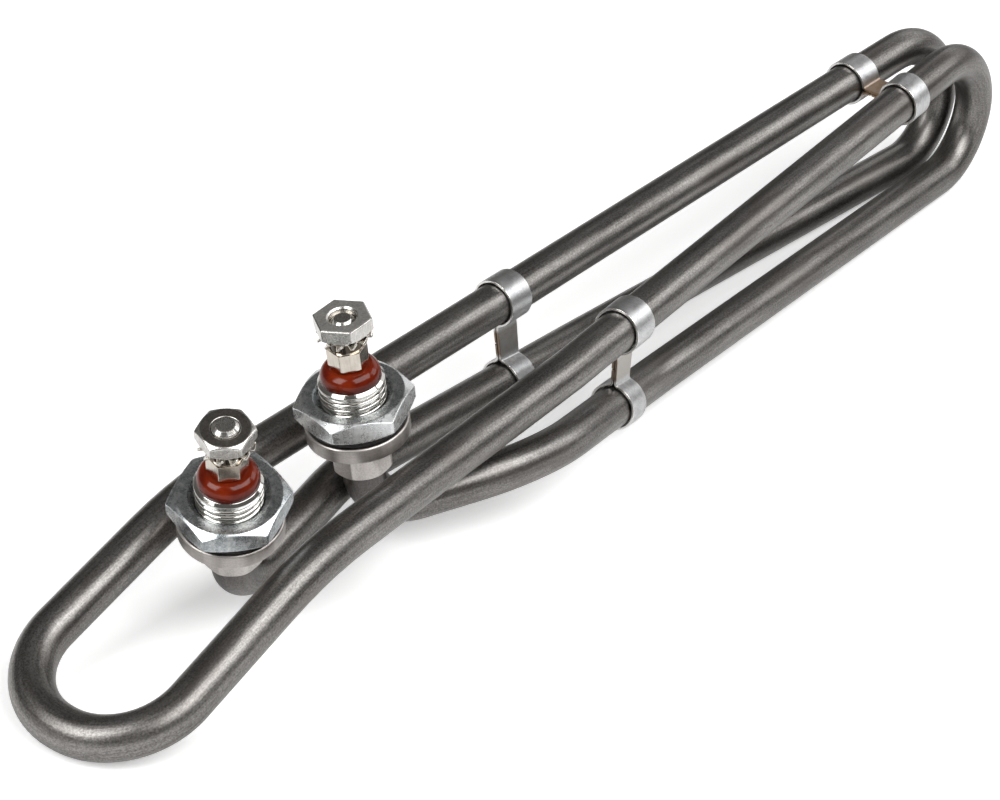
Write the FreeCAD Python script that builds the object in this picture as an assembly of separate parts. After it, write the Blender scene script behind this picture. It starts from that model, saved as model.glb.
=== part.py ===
# A flow-through immersion heating element.  One sheathed tube is bent into four passes: the upper
# passes A (+Y side) and B (-Y side) run from the front loop to the far bends, and the lower passes C
# (under A) and D (under B) come back to the two terminal fittings.  Fitting 1 stands on C's end and
# fitting 2 on D's end.  Three folded clips hold the passes apart.
# Millimetres.  X runs along the passes with the front loop at the -X end, Z is up, and z = 0 is the
# flat surface that the front loop and the far bends lie on.
import FreeCAD, Part
import math
import os

Vector = FreeCAD.Vector

# Tube
tube_d = 8.0
tube_wall = 0.75
tube_r = tube_d / 2

# Route of the tube's centre line.  Each point is where two straight runs would meet, and each
# radius is that of the bend that rounds it.  A and B mirror each other about y = 0, and so do C and
# D as far as their own bends towards the fittings.
loop_x = -139.0
loop_y = 15.6
loop_bend = 15.0
knee_x = -92.7
knee_y = 14.7
knee_z = 20.7
knee_bend = 68.0
waist_x = -18.4
waist_y = 12.4
waist_z = 23.8
waist_bend = 40.0
far_top_x = 132.5
far_top_y = 5.1
far_top_z = 33.6
far_low_x = 145.8
far_low_y = 4.1
far_low_drop = 0.35         # how far the corner lies below the bend's own lowest point
far_low_share = 0.6         # share of the far end's height that the lower bend takes
belly_x = 13.5
belly_y = 9.6
belly_z = 6.0
belly_bend = 40.0
swerve_x_1 = -59.9          # where C and D turn aside towards their fittings
swerve_y_1 = 6.8
swerve_z_1 = 12.5
swerve_x_2 = -32.8
swerve_y_2 = -17.8
swerve_z_2 = 13.5
swerve_bend = 32.0

# Terminal fittings: middle of each flange's upper face, and how far each leans from upright towards
# +X and +Y, in degrees.  Heights h below are along the fitting's own axis from that face.
seat_x_1 = -96.9
seat_y_1 = 0.8
seat_z_1 = 24.9
lean_x_1 = -13.3
lean_y_1 = -7.9
seat_x_2 = -64.2
seat_y_2 = 0.4
seat_z_2 = 29.5
lean_x_2 = -9.4
lean_y_2 = 3.1
foot_h_1 = -20.4            # corner of the bend under each fitting
foot_bend_1 = 8.7
foot_h_2 = -21.7
foot_bend_2 = 9.2

# Bulkhead fitting
neck_d = 12.0
neck_h = 9.3
neck_lead = 0.55
flange_d = 18.8
flange_t = 3.3
flange_edge = 0.35
collar_across = 11.2
collar_sides = 8
collar_turn_1 = 20.0
collar_turn_2 = 20.0
collar_len = 7.0
collar_nose = 2.2
braze_gap = 0.05

# Gasket and mounting nut
gasket_d = 18.0
gasket_t = 1.4
neck_gap = 0.1
nut_flats = 19.0
nut_t = 4.4
nut_face_d = 18.2
nut_mouth = 1.1
nut_slope = 30.0
nut_turn_1 = 18.0
nut_turn_2 = 18.3

# End seal and the ceramic bush under it
seal_d = 10.9
seal_rim = 0.5
seal_h = 12.1
seal_top_d = 8.0
part_gap = 0.05
tube_end_h = 5.0
bush_top_h = 7.0
spigot_len = 2.5

# Terminal stud, which is one rod with the cold pin inside the tube
stud_d = 4.83
stud_tip_d = 3.5
stud_tip = 0.7
stud_rise_1 = 0.85          # how far each stud's end stands above its terminal nut
stud_rise_2 = -0.35
pin_d = 2.6
pin_reach = 38.0            # length of cold pin along the tube, measured from the tube's end

# Lower nut, lock washer and terminal nut
low_flats = 6.35
low_t = 4.05
low_point = 0.6
low_face_w = 0.35           # ring of flat face left round the bore at the pointed end
low_turn_1 = 18.0
low_turn_2 = 18.0
land_d = 5.9                # round land on the lower nut that carries the washer
land_t = 2.4
washer_d = 10.1
washer_body_d = 7.6
washer_t = 0.55
washer_teeth = 12
tooth_root_twist = 10.0
tooth_twist = 50.0
tooth_w = 1.7
tooth_bite = 0.4            # how deep each tooth's root reaches into the ring
top_flats_1 = 9.2
top_flats_2 = 9.4
top_t = 2.75
top_face_d_1 = 8.5
top_face_d_2 = 10.5
top_mouth = 0.35
top_turn_1 = 13.2
top_turn_2 = 55.6

# Inside the tube
core_gap = 0.05
coil_d = 3.6
coil_bore = 2.7
coil_grip = 6.0             # how far the winding is pushed over each cold pin

# Spacer clips: middle of each along X, and the sheet that they are folded from
clip_back_x = -7.4
clip_front_x = -0.2
clip_far_x = 104.7
clip_w = 5.6
clip_t = 0.5
clip_gap = 0.3
clip_bend = 0.9
layer_slot = 0.2
weld_d = 1.4
weld_share = 0.5            # distance between the two welds, as a share of the strap's flat length
seam_w = 0.3

cut_over = 1.0              # how far a cutter runs past the face that it cuts
eps = 1e-4


def lean_axis(lean_x, lean_y):
    """Unit vector of a fitting that leans by the two angles, in degrees, towards +X and +Y."""
    return Vector(math.tan(math.radians(lean_x)), math.tan(math.radians(lean_y)), 1).normalize()


seat_1 = Vector(seat_x_1, seat_y_1, seat_z_1)
seat_2 = Vector(seat_x_2, seat_y_2, seat_z_2)
axis_1 = lean_axis(lean_x_1, lean_y_1)
axis_2 = lean_axis(lean_x_2, lean_y_2)


def mirrored(p):
    return Vector(p.x, -p.y, p.z)


loop_corner = Vector(loop_x, loop_y, tube_r)
knee = Vector(knee_x, knee_y, knee_z)
waist = Vector(waist_x, waist_y, waist_z)
far_top = Vector(far_top_x, far_top_y, far_top_z)
far_low = Vector(far_low_x, far_low_y, tube_r - far_low_drop)
belly = Vector(belly_x, belly_y, belly_z)
swerve_1 = Vector(swerve_x_1, swerve_y_1, swerve_z_1)
swerve_2 = Vector(swerve_x_2, swerve_y_2, swerve_z_2)


def bend_within(before, corner, after, tangent):
    """Radius of the bend that takes this length from each of the corner's two straight runs."""
    turn = (corner - before).getAngle(after - corner)
    return tangent / math.tan(turn / 2)


# The two bends of a far end meet part of the way up, so the tube is never straight between them.
far_height = (far_top - far_low).Length
far_low_bend = bend_within(belly, far_low, far_top, far_low_share * far_height)
far_top_bend = bend_within(far_low, far_top, waist, (1 - far_low_share) * far_height)

# Corner points and the bend radius at each, from fitting 1 to fitting 2
route = [
    (seat_1 + axis_1 * tube_end_h, None),
    (seat_1 + axis_1 * foot_h_1, foot_bend_1),
    (swerve_1, swerve_bend),
    (belly, belly_bend),
    (far_low, far_low_bend),
    (far_top, far_top_bend),
    (waist, waist_bend),
    (knee, knee_bend),
    (loop_corner, loop_bend),
    (mirrored(loop_corner), loop_bend),
    (mirrored(knee), knee_bend),
    (mirrored(waist), waist_bend),
    (mirrored(far_top), far_top_bend),
    (mirrored(far_low), far_low_bend),
    (mirrored(belly), belly_bend),
    (swerve_2, swerve_bend),
    (seat_2 + axis_2 * foot_h_2, foot_bend_2),
    (seat_2 + axis_2 * tube_end_h, None),
]


def make_pieces(corners):
    """Straight runs and tangent bends of the route.  A run is (start, direction, length) and a
    bend is (start, direction, length, centre, axis, radius)."""
    pieces = []
    here = corners[0][0]
    for i in range(1, len(corners)):
        corner, radius = corners[i]
        if radius is None:
            pieces.append((here, (corner - here).normalize(), (corner - here).Length))
            break
        before = corners[i - 1][0]
        after = corners[i + 1][0]
        into = (corner - before).normalize()
        out = (after - corner).normalize()
        turn = into.getAngle(out)
        tangent = radius * math.tan(turn / 2)
        start = corner - into * tangent
        if (start - here).dot(into) > eps:
            pieces.append((here, into, (start - here).Length))
        axis = into.cross(out).normalize()
        centre = start + axis.cross(into) * radius
        pieces.append((start, into, radius * turn, centre, axis, radius))
        here = corner + out * tangent
    return pieces


tube_pieces = make_pieces(route)
tube_length = sum(piece[2] for piece in tube_pieces)


def trimmed(pieces, s0, s1):
    """The stretch of the route between two distances along it."""
    kept = []
    s = 0.0
    for piece in pieces:
        length = piece[2]
        a = max(s0 - s, 0.0)
        b = min(s1 - s, length)
        if b - a > eps:
            if len(piece) == 3:
                kept.append((piece[0] + piece[1] * a, piece[1], b - a))
            else:
                start, into, length, centre, axis, radius = piece
                spin = FreeCAD.Rotation(axis, math.degrees(a / radius))
                kept.append((centre + spin.multVec(start - centre), spin.multVec(into), b - a,
                             centre, axis, radius))
        s += length
    return kept


def swept(pieces, outer_r, inner_r=0.0):
    """Round bar or tube that follows straight runs and bends, as one solid."""
    solids = []
    for piece in pieces:
        start, along = piece[0], piece[1]
        section = Part.Wire(Part.makeCircle(outer_r, start, along))
        if inner_r > 0:
            bore = Part.Wire(Part.makeCircle(inner_r, start, along))
            face = Part.makeFace([section, bore], "Part::FaceMakerBullseye")
        else:
            face = Part.Face(section)
        if len(piece) == 3:
            solids.append(face.extrude(along * piece[2]))
        else:
            centre, axis, radius = piece[3:]
            solids.append(face.revolve(centre, axis, math.degrees(piece[2] / radius)))
    return solids[0].multiFuse(solids[1:]) if len(solids) > 1 else solids[0]


def turned(profile):
    """Solid of revolution about the local Z axis from (radius, height) corners."""
    points = [Vector(r, 0, h) for r, h in profile]
    return spun(Part.makePolygon(points + [points[0]]))


def spun(wire):
    return Part.Face(wire).revolve(Vector(0, 0, 0), Vector(0, 0, 1), 360)


def ring(outer_d, inner_d, h0, h1):
    return turned([(inner_d / 2, h0), (outer_d / 2, h0), (outer_d / 2, h1), (inner_d / 2, h1)])


def prism(across_corners, sides, turn, h0, h1):
    """Upright prism with this many sides."""
    points = []
    for i in range(sides + 1):
        a = math.radians(turn + 360.0 * i / sides)
        points.append(Vector(across_corners / 2 * math.cos(a), across_corners / 2 * math.sin(a), h0))
    return Part.Face(Part.makePolygon(points)).extrude(Vector(0, 0, h1 - h0))


def hexagon(flats, turn, h0, h1):
    return prism(flats / math.cos(math.pi / 6), 6, turn, h0, h1)


def chamfered_bar(flats, face_d_low, face_d_top, h0, h1):
    """Double cone that cuts a nut's corners back at its nut_slope, to the given face diameters."""
    corner_r = flats / math.cos(math.pi / 6) / 2 + cut_over
    slope = math.tan(math.radians(nut_slope))
    low = (corner_r - face_d_low / 2) * slope
    top = (corner_r - face_d_top / 2) * slope
    return turned([(0, h0), (face_d_low / 2, h0), (corner_r, h0 + low), (corner_r, h1 - top),
                   (face_d_top / 2, h1), (0, h1)])


def bore_with_mouths(bore_d, mouth, h0, h1):
    """Cutter for a through hole whose two mouths are countersunk by the mouth's radial width."""
    r = bore_d / 2
    wide = r + mouth + cut_over
    return turned([(0, h0 - cut_over), (wide, h0 - cut_over), (r, h0 + mouth), (r, h1 - mouth),
                   (wide, h1 + cut_over), (0, h1 + cut_over)])


def bulkhead_fitting(turn):
    """Turned neck and flange over a faceted collar that closes in round the tube."""
    neck_r = neck_d / 2
    flange_r = flange_d / 2
    body = turned([
        (0, -flange_t), (flange_r - flange_edge, -flange_t), (flange_r, -flange_t + flange_edge),
        (flange_r, -flange_edge / 2), (flange_r - flange_edge / 2, 0), (neck_r, 0),
        (neck_r, neck_h - neck_lead), (neck_r - neck_lead, neck_h), (0, neck_h)])
    low = -flange_t - collar_len
    r = collar_across / 2
    nose_mid = collar_nose * math.sqrt(0.5)
    outline = Part.Wire([
        Part.makeLine(Vector(0, 0, low), Vector(r - collar_nose, 0, low)),
        Part.Arc(Vector(r - collar_nose, 0, low),
                 Vector(r - collar_nose + nose_mid, 0, low + collar_nose - nose_mid),
                 Vector(r, 0, low + collar_nose)).toShape(),
        Part.makeLine(Vector(r, 0, low + collar_nose), Vector(r, 0, -flange_t)),
        Part.makeLine(Vector(r, 0, -flange_t), Vector(0, 0, -flange_t)),
        Part.makeLine(Vector(0, 0, -flange_t), Vector(0, 0, low))])
    collar = spun(outline).common(prism(collar_across, collar_sides, turn, low, -flange_t))
    bore = ring(tube_d + 2 * braze_gap, 0, low - cut_over, neck_h + cut_over)
    return body.fuse(collar).cut(bore).removeSplitter()


def gasket():
    return ring(gasket_d, neck_d + 2 * neck_gap, 0, gasket_t)


def mounting_nut(turn):
    h0 = gasket_t
    h1 = gasket_t + nut_t
    blank = hexagon(nut_flats, turn, h0, h1)
    blank = blank.common(chamfered_bar(nut_flats, nut_face_d, nut_face_d, h0, h1))
    return blank.cut(bore_with_mouths(neck_d + 2 * neck_gap, nut_mouth, h0, h1))


def ceramic_bush():
    """Head on the tube's end and a spigot inside it, round the cold pin."""
    hole = pin_d / 2 + part_gap
    head = tube_r
    spigot = tube_r - tube_wall - part_gap
    return turned([(hole, tube_end_h - spigot_len), (spigot, tube_end_h - spigot_len),
                   (spigot, tube_end_h), (head, tube_end_h), (head, bush_top_h), (hole, bush_top_h)])


def end_seal():
    """Plug in the neck's mouth under a dome that springs upright from its rim on the neck's end."""
    hole = stud_d / 2 + part_gap
    rim_r = seal_d / 2
    top_r = seal_top_d / 2
    rim_h = neck_h + seal_rim
    dome_r = ((rim_r - top_r) ** 2 + (seal_h - rim_h) ** 2) / (2 * (rim_r - top_r))
    half_way = math.asin((seal_h - rim_h) / dome_r) / 2
    bulge = Vector(rim_r - dome_r * (1 - math.cos(half_way)), 0, rim_h + dome_r * math.sin(half_way))
    outline = Part.Wire([
        Part.makeLine(Vector(hole, 0, bush_top_h), Vector(tube_r, 0, bush_top_h)),
        Part.makeLine(Vector(tube_r, 0, bush_top_h), Vector(tube_r, 0, neck_h)),
        Part.makeLine(Vector(tube_r, 0, neck_h), Vector(rim_r, 0, neck_h)),
        Part.makeLine(Vector(rim_r, 0, neck_h), Vector(rim_r, 0, rim_h)),
        Part.Arc(Vector(rim_r, 0, rim_h), bulge, Vector(top_r, 0, seal_h)).toShape(),
        Part.makeLine(Vector(top_r, 0, seal_h), Vector(hole, 0, seal_h)),
        Part.makeLine(Vector(hole, 0, seal_h), Vector(hole, 0, bush_top_h))])
    return spun(outline)


# Heights of the stack on each stud
low_h = seal_h
land_h = low_h + low_t
washer_h = land_h + land_t
washer_mid = washer_h + part_gap + washer_t / 2
tooth_reach = (tooth_w * math.sin(math.radians(tooth_twist))
               + washer_t * math.cos(math.radians(tooth_twist))) / 2
top_h = washer_mid + tooth_reach + part_gap


def lower_nut(turn):
    """Narrow nut whose lower corners are cut back, with a round land on top under the washer."""
    blank = hexagon(low_flats, turn, low_h, land_h)
    corner_r = low_flats / math.cos(math.pi / 6) / 2
    bore_d = stud_d + 2 * part_gap
    cone = turned([(0, low_h), (bore_d / 2 + low_face_w, low_h), (corner_r, low_h + low_point),
                   (corner_r, land_h), (0, land_h)])
    land = ring(land_d, 0, low_h + low_point, washer_h)
    return blank.common(cone).fuse(land).cut(ring(bore_d, 0, low_h - cut_over, washer_h + cut_over))


def lock_washer():
    """Flat ring with teeth round its edge, each twisted about its own radius."""
    body = ring(washer_body_d, stud_d + 2 * part_gap, washer_mid - washer_t / 2,
                washer_mid + washer_t / 2)
    root = washer_body_d / 2 - tooth_bite
    tip = washer_d / 2

    def section(r, twist):
        half = tooth_w / 2
        points = [Vector(r, -half, -washer_t / 2), Vector(r, half, -washer_t / 2),
                  Vector(r, half, washer_t / 2), Vector(r, -half, washer_t / 2)]
        spin = FreeCAD.Rotation(Vector(1, 0, 0), twist)
        points = [spin.multVec(p) + Vector(0, 0, washer_mid) for p in points]
        return Part.makePolygon(points + [points[0]])

    tooth = Part.makeLoft([section(root, tooth_root_twist), section(tip, tooth_twist)], True, True)
    teeth = []
    for i in range(washer_teeth):
        copy = tooth.copy()
        copy.rotate(Vector(0, 0, 0), Vector(0, 0, 1), 360.0 * i / washer_teeth)
        teeth.append(copy)
    return body.multiFuse(teeth)


def terminal_nut(flats, turn, face_d):
    h1 = top_h + top_t
    blank = hexagon(flats, turn, top_h, h1)
    blank = blank.common(chamfered_bar(flats, flats, face_d, top_h, h1))
    return blank.cut(bore_with_mouths(stud_d + 2 * part_gap, top_mouth, top_h, h1))


def stud_above_bush(top):
    return turned([(0, bush_top_h), (stud_d / 2, bush_top_h), (stud_d / 2, top - stud_tip),
                   (stud_tip_d / 2, top), (0, top)])


def on_line(p, q, plane_point, normal):
    """Where the line through p and q meets a plane."""
    along = q - p
    return p + along * ((plane_point - p).dot(normal) / along.dot(normal))


# The middle of a clip's sheet: radius of each loop, the strap layers' distance from the line of
# centres, and how far from a tube's centre the strap begins
loop_r = tube_r + clip_gap + clip_t / 2
layer_y = layer_slot / 2 + clip_t / 2
strap_x = math.sqrt((loop_r + clip_bend) ** 2 - (layer_y + clip_bend) ** 2)


def clip_outline(c1, c2, normal, side):
    """Closed band round two tube centres: side +1 is the band's outer line and -1 its inner one.

    Every bend of the strip keeps its own centre, so the two lines differ only in their radii."""
    u = (c2 - c1).normalize()
    v = normal.cross(u)
    span = (c2 - c1).Length
    loop_side_r = loop_r + side * clip_t / 2
    bend_side_r = clip_bend - side * clip_t / 2
    strap_y = layer_y + side * clip_t / 2
    wrap = math.atan2(layer_y + clip_bend, strap_x)

    def at(end, x, y):
        return c1 + u * (span - x if end else x) + v * y

    def loop_point(end, angle):
        return at(end, loop_side_r * math.cos(angle), loop_side_r * math.sin(angle))

    def bend_point(end, sign, angle):
        return at(end, strap_x + bend_side_r * math.cos(angle),
                  sign * (layer_y + clip_bend + bend_side_r * math.sin(angle)))

    edges = []
    for end in (0, 1):
        edges.append(Part.Arc(loop_point(end, wrap), loop_point(end, math.pi),
                              loop_point(end, -wrap)).toShape())
    for sign in (1, -1):
        for end in (0, 1):
            a0 = math.pi + wrap
            a1 = 1.5 * math.pi
            edges.append(Part.Arc(bend_point(end, sign, a0), bend_point(end, sign, (a0 + a1) / 2),
                                  bend_point(end, sign, a1)).toShape())
        edges.append(Part.makeLine(at(0, strap_x, sign * strap_y), at(1, strap_x, sign * strap_y)))
    return Part.Wire(Part.__sortEdges__(edges))


def spacer_clip(run_1, run_2, x, seam_side):
    """Strip folded round two straight runs of the tube, its two layers welded together between them.

    Each end of the clip is drawn round the tubes' own centres there, so both loops lie true on
    runs that aren't parallel.  The strip's two ends meet in a seam on one layer of the strap."""
    way_1 = (run_1[1] - run_1[0]).normalize()
    way_2 = (run_2[1] - run_2[0]).normalize()
    normal = (way_1 + way_2).normalize()
    middle = (on_line(*run_1, Vector(x, 0, 0), Vector(1, 0, 0))
              + on_line(*run_2, Vector(x, 0, 0), Vector(1, 0, 0))) * 0.5
    outer = []
    inner = []
    for end in (-0.5, 0.5):
        plane = middle + normal * (clip_w * end)
        c1 = on_line(*run_1, plane, normal)
        c2 = on_line(*run_2, plane, normal)
        outer.append(clip_outline(c1, c2, normal, 1))
        inner.append(clip_outline(c1, c2, normal, -1))
    band = Part.makeLoft(outer, True, True).cut(Part.makeLoft(inner, True, True))

    c1 = on_line(*run_1, middle, normal)
    c2 = on_line(*run_2, middle, normal)
    u = (c2 - c1).normalize()
    v = normal.cross(u)
    strap_mid = (c1 + c2) * 0.5
    flat = (c2 - c1).Length - 2 * strap_x
    for sign in (-1, 1):
        spot = strap_mid + u * (sign * flat * weld_share / 2) - v * layer_y
        band = band.fuse(Part.makeCylinder(weld_d / 2, 2 * layer_y, spot, v))

    seam_from = strap_mid - u * (seam_w / 2) - normal * (clip_w / 2 + cut_over)
    seam_to = v * (seam_side * (layer_y + clip_t / 2 + cut_over))
    seam = Part.makePolygon([seam_from, seam_from + u * seam_w, seam_from + u * seam_w + seam_to,
                             seam_from + seam_to, seam_from])
    return band.cut(Part.Face(seam).extrude(normal * (clip_w + 2 * cut_over)))


def insulation_core():
    """Packed powder: round each cold pin, round the winding, and a filling inside the winding."""
    core_r = inner_r - core_gap
    round_pin = pin_d / 2 + core_gap
    round_coil = coil_d / 2 + core_gap
    first = swept(trimmed(tube_pieces, spigot_len, coil_s0), core_r, round_pin)
    middle = swept(trimmed(tube_pieces, coil_s0, coil_s1), core_r, round_coil)
    last = swept(trimmed(tube_pieces, coil_s1, tube_length - spigot_len), core_r, round_pin)
    filling = swept(trimmed(tube_pieces, pin_reach, tube_length - pin_reach), coil_bore / 2 - core_gap)
    return Part.makeCompound([first.multiFuse([middle, last]), filling])


def placed(shape, seat, axis):
    """Stands a piece drawn about the local Z axis on its fitting's place and lean."""
    side = Vector(1, 0, 0) - axis * axis.x
    across = axis.cross(side)
    shape = shape.copy()
    shape.Placement = FreeCAD.Placement(seat, FreeCAD.Rotation(side, across, axis, "ZXY"))
    return shape


def save(name, shape):
    solid = shape.Solids[0] if len(shape.Solids) == 1 else shape
    solid.exportStep("parts/" + name + ".step")


os.makedirs("parts", exist_ok=True)

inner_r = tube_r - tube_wall
save("sheath_tube", swept(tube_pieces, tube_r, inner_r))
coil_s0 = pin_reach - coil_grip
coil_s1 = tube_length - coil_s0
save("resistance_coil", swept(trimmed(tube_pieces, coil_s0, coil_s1), coil_d / 2, coil_bore / 2))
save("insulation_core", insulation_core())

terminals = [
    (1, seat_1, axis_1, collar_turn_1, nut_turn_1, low_turn_1, stud_rise_1,
     terminal_nut(top_flats_1, top_turn_1, top_face_d_1)),
    (2, seat_2, axis_2, collar_turn_2, nut_turn_2, low_turn_2, stud_rise_2,
     terminal_nut(top_flats_2, top_turn_2, top_face_d_2)),
]
for number, seat, axis, collar_turn, nut_turn, low_turn, stud_rise, top_nut in terminals:
    s0, s1 = (0.0, pin_reach) if number == 1 else (tube_length - pin_reach, tube_length)
    pin = swept(trimmed(tube_pieces, s0, s1), pin_d / 2)
    neck_pin = placed(ring(pin_d, 0, tube_end_h, bush_top_h), seat, axis)
    stud = placed(stud_above_bush(top_h + top_t + stud_rise), seat, axis).fuse(neck_pin).fuse(pin)
    save("terminal_stud_%d" % number, stud)
    save("bulkhead_fitting_%d" % number, placed(bulkhead_fitting(collar_turn), seat, axis))
    save("gasket_%d" % number, placed(gasket(), seat, axis))
    save("mounting_nut_%d" % number, placed(mounting_nut(nut_turn), seat, axis))
    save("ceramic_bush_%d" % number, placed(ceramic_bush(), seat, axis))
    save("end_seal_%d" % number, placed(end_seal(), seat, axis))
    save("lower_nut_%d" % number, placed(lower_nut(low_turn), seat, axis))
    save("lock_washer_%d" % number, placed(lock_washer(), seat, axis))
    save("terminal_nut_%d" % number, placed(top_nut, seat, axis))

run_a = (waist, far_top)
run_b = (mirrored(waist), mirrored(far_top))
run_c = (swerve_1, belly)
run_d = (swerve_2, mirrored(belly))
save("clip_back", spacer_clip(run_a, run_c, clip_back_x, -1))
save("clip_front", spacer_clip(run_b, run_d, clip_front_x, -1))
save("clip_far", spacer_clip(run_a, run_b, clip_far_x, 1))
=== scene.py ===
import math
import bmesh
import bpy
import numpy as np
from mathutils import Matrix


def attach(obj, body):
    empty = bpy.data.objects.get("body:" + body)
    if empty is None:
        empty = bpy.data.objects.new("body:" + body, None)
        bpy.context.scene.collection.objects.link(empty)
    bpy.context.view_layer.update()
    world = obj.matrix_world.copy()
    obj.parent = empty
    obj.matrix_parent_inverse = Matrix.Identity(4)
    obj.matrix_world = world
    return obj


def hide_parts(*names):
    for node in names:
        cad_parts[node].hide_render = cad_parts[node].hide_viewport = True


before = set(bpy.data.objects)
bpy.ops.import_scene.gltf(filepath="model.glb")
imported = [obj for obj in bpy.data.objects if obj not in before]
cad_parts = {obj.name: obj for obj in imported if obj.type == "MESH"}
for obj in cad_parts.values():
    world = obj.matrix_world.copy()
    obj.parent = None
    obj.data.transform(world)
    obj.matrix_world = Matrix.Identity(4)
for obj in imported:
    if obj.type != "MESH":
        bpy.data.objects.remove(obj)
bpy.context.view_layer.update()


# Camera: it looks down on the heater from beyond its front loop, a little to the left, with a long
# lens.  The shift sets the picture's centre where the photograph has it.
def in_scene(obj):
    """Links an object to the scene."""
    bpy.context.scene.collection.objects.link(obj)
    return obj


camera = in_scene(bpy.data.objects.new("camera", bpy.data.cameras.new("camera")))
bpy.context.scene.camera = camera
camera_right = (0.5994, -0.79741, 0.06972)
camera_up = (0.39744, 0.37209, 0.83881)
camera_back = (-0.69481, -0.47507, 0.53995)
camera_place = (-0.46844, -0.3253, 0.36616)
camera_turn = Matrix((camera_right, camera_up, camera_back)).transposed()
camera.matrix_world = Matrix.Translation(camera_place) @ camera_turn.to_4x4()
camera.data.sensor_width = 36.0
camera.data.lens = 125.84
camera.data.shift_x = -0.08823
camera.data.shift_y = 0.01456
camera.data.clip_start = 0.05
camera.data.clip_end = 20.0
bpy.context.scene.view_settings.view_transform = "Standard"


# Studio: a wide white table, a dim room that is paler low down, and four soft boxes: a small one to
# the left of the camera, a wide one above it to the right, a narrow one far to the right, and a dim
# one beyond the far bends.
class Signal:
    """A number that changes over a surface.  Sums, products and powers of it add Math nodes."""

    def __init__(self, finish, socket):
        self.finish = finish
        self.socket = socket

    def maths(self, operation, *values):
        return self.finish.node("Math", {"operation": operation}, list(values))

    def __add__(self, other):
        return self.maths("ADD", self, other)

    def __sub__(self, other):
        return self.maths("SUBTRACT", self, other)

    def __rsub__(self, other):
        return self.maths("SUBTRACT", other, self)

    def __mul__(self, other):
        return self.maths("MULTIPLY", self, other)

    __radd__, __rmul__ = __add__, __mul__

    def __pow__(self, other):
        return self.maths("POWER", self, other)

    def __rpow__(self, other):
        return self.maths("POWER", other, self)

    def __abs__(self):
        return self.maths("ABSOLUTE", self)

    def between(self, low, high):
        """0 below low, 1 above high and a smooth rise between them; falls if high is the lower."""
        return self.finish.node("MapRange", {"interpolation_type": "SMOOTHSTEP"},
                                {0: self, 1: low, 2: high, 3: 0.0, 4: 1.0})


class Finish:
    """A material, or the room's light, in the making."""

    def __init__(self, name, owner=None):
        self.owner = owner or bpy.data.materials.new(name)
        self.owner.use_nodes = True
        self.tree = self.owner.node_tree
        self.tree.nodes.clear()

    def node(self, kind, settings=None, sockets=None, out=0):
        """Adds a node of any type with its settings and its sockets' values or links."""
        made = self.tree.nodes.new("ShaderNode" + kind)
        for key, value in (settings or {}).items():
            if key == "stops":
                self.set_stops(made.color_ramp, value)
            else:
                setattr(made, key, value)
        pairs = enumerate(sockets) if isinstance(sockets, list) else (sockets or {}).items()
        for key, value in pairs:
            if isinstance(value, Signal):
                self.tree.links.new(value.socket, made.inputs[key])
            else:
                made.inputs[key].default_value = value
        return Signal(self, made.outputs[out]) if made.outputs else made

    def set_stops(self, ramp, stops):
        while len(ramp.elements) < len(stops):
            ramp.elements.new(1.0)
        for element, (place, colour) in zip(ramp.elements, stops):
            element.position = place
            element.color = (*colour, 1.0)

    def ramp(self, signal, stops):
        return self.node("ValToRGB", {"stops": stops}, {"Fac": signal})

    def blend(self, colour_a, colour_b, share):
        """The first colour where share is 0 and the second where it is 1."""
        a = colour_a if isinstance(colour_a, Signal) else (*colour_a, 1.0)
        b = colour_b if isinstance(colour_b, Signal) else (*colour_b, 1.0)
        return self.node("Mix", {"data_type": "RGBA"}, {0: share, 6: a, 7: b}, 2)

    def object_place(self):
        """The place in the object's coordinates, in metres."""
        return self.node("TexCoord", {}, None, "Object")

    def own_place(self):
        """The piece's own coordinates, which its mesh carries along in metres."""
        return self.node("Attribute", {"attribute_name": "own"}, None, "Vector")

    def along(self, axis, place):
        """How far a place lies along X, Y or Z."""
        return self.node("SeparateXYZ", {}, {0: place}, axis)

    def stretched(self, place, scale):
        return self.node("Mapping", {"vector_type": "POINT"}, {"Vector": place, "Scale": scale})

    def noise(self, place, scale, detail=3.0, roughness=0.55):
        return self.node("TexNoise", {}, {"Vector": place, "Scale": scale, "Detail": detail,
                                          "Roughness": roughness}, "Fac")

    def bump(self, height, distance, strength):
        return self.node("Bump", {}, {"Height": height, "Distance": distance, "Strength": strength})

    def surface(self, **sockets):
        """Ends the material in a Principled BSDF with these sockets."""
        named = {key.replace("_", " "): value for key, value in sockets.items()}
        shader = self.node("BsdfPrincipled", {}, named)
        self.node("OutputMaterial", {}, {"Surface": shader})
        return self.owner


# The camera sees the table glow a little, so that it looks white beyond the shadow.  Gloss and
# glass see a fifth of that glow, and diffuse surfaces none of it.
table_half = 4.0
table_glow = 0.40
table_gloss = 0.20

table = Finish("white_table")
table_tone = table.noise(table.object_place(), 3.0, 2.0)
table_colour = table.blend((0.90, 0.90, 0.90), (0.94, 0.94, 0.94), table_tone)
table_plain = table.node("BsdfDiffuse", {}, {"Color": table_colour, "Roughness": 0.5})
table_light = table.node("Emission", {}, {"Color": (1.0, 1.0, 1.0, 1.0), "Strength": table_glow})
table_lit = table.node("AddShader", {}, [table_plain, table_light])
to_camera, to_gloss, to_glass = (table.node("LightPath", {}, None, "Is %s Ray" % ray)
                                 for ray in ("Camera", "Glossy", "Transmission"))
table_seen = to_camera + table_gloss * (to_gloss + to_glass)
table.node("OutputMaterial", {}, {"Surface": table.node(
    "MixShader", {}, [table_seen, table_plain, table_lit])})

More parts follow.
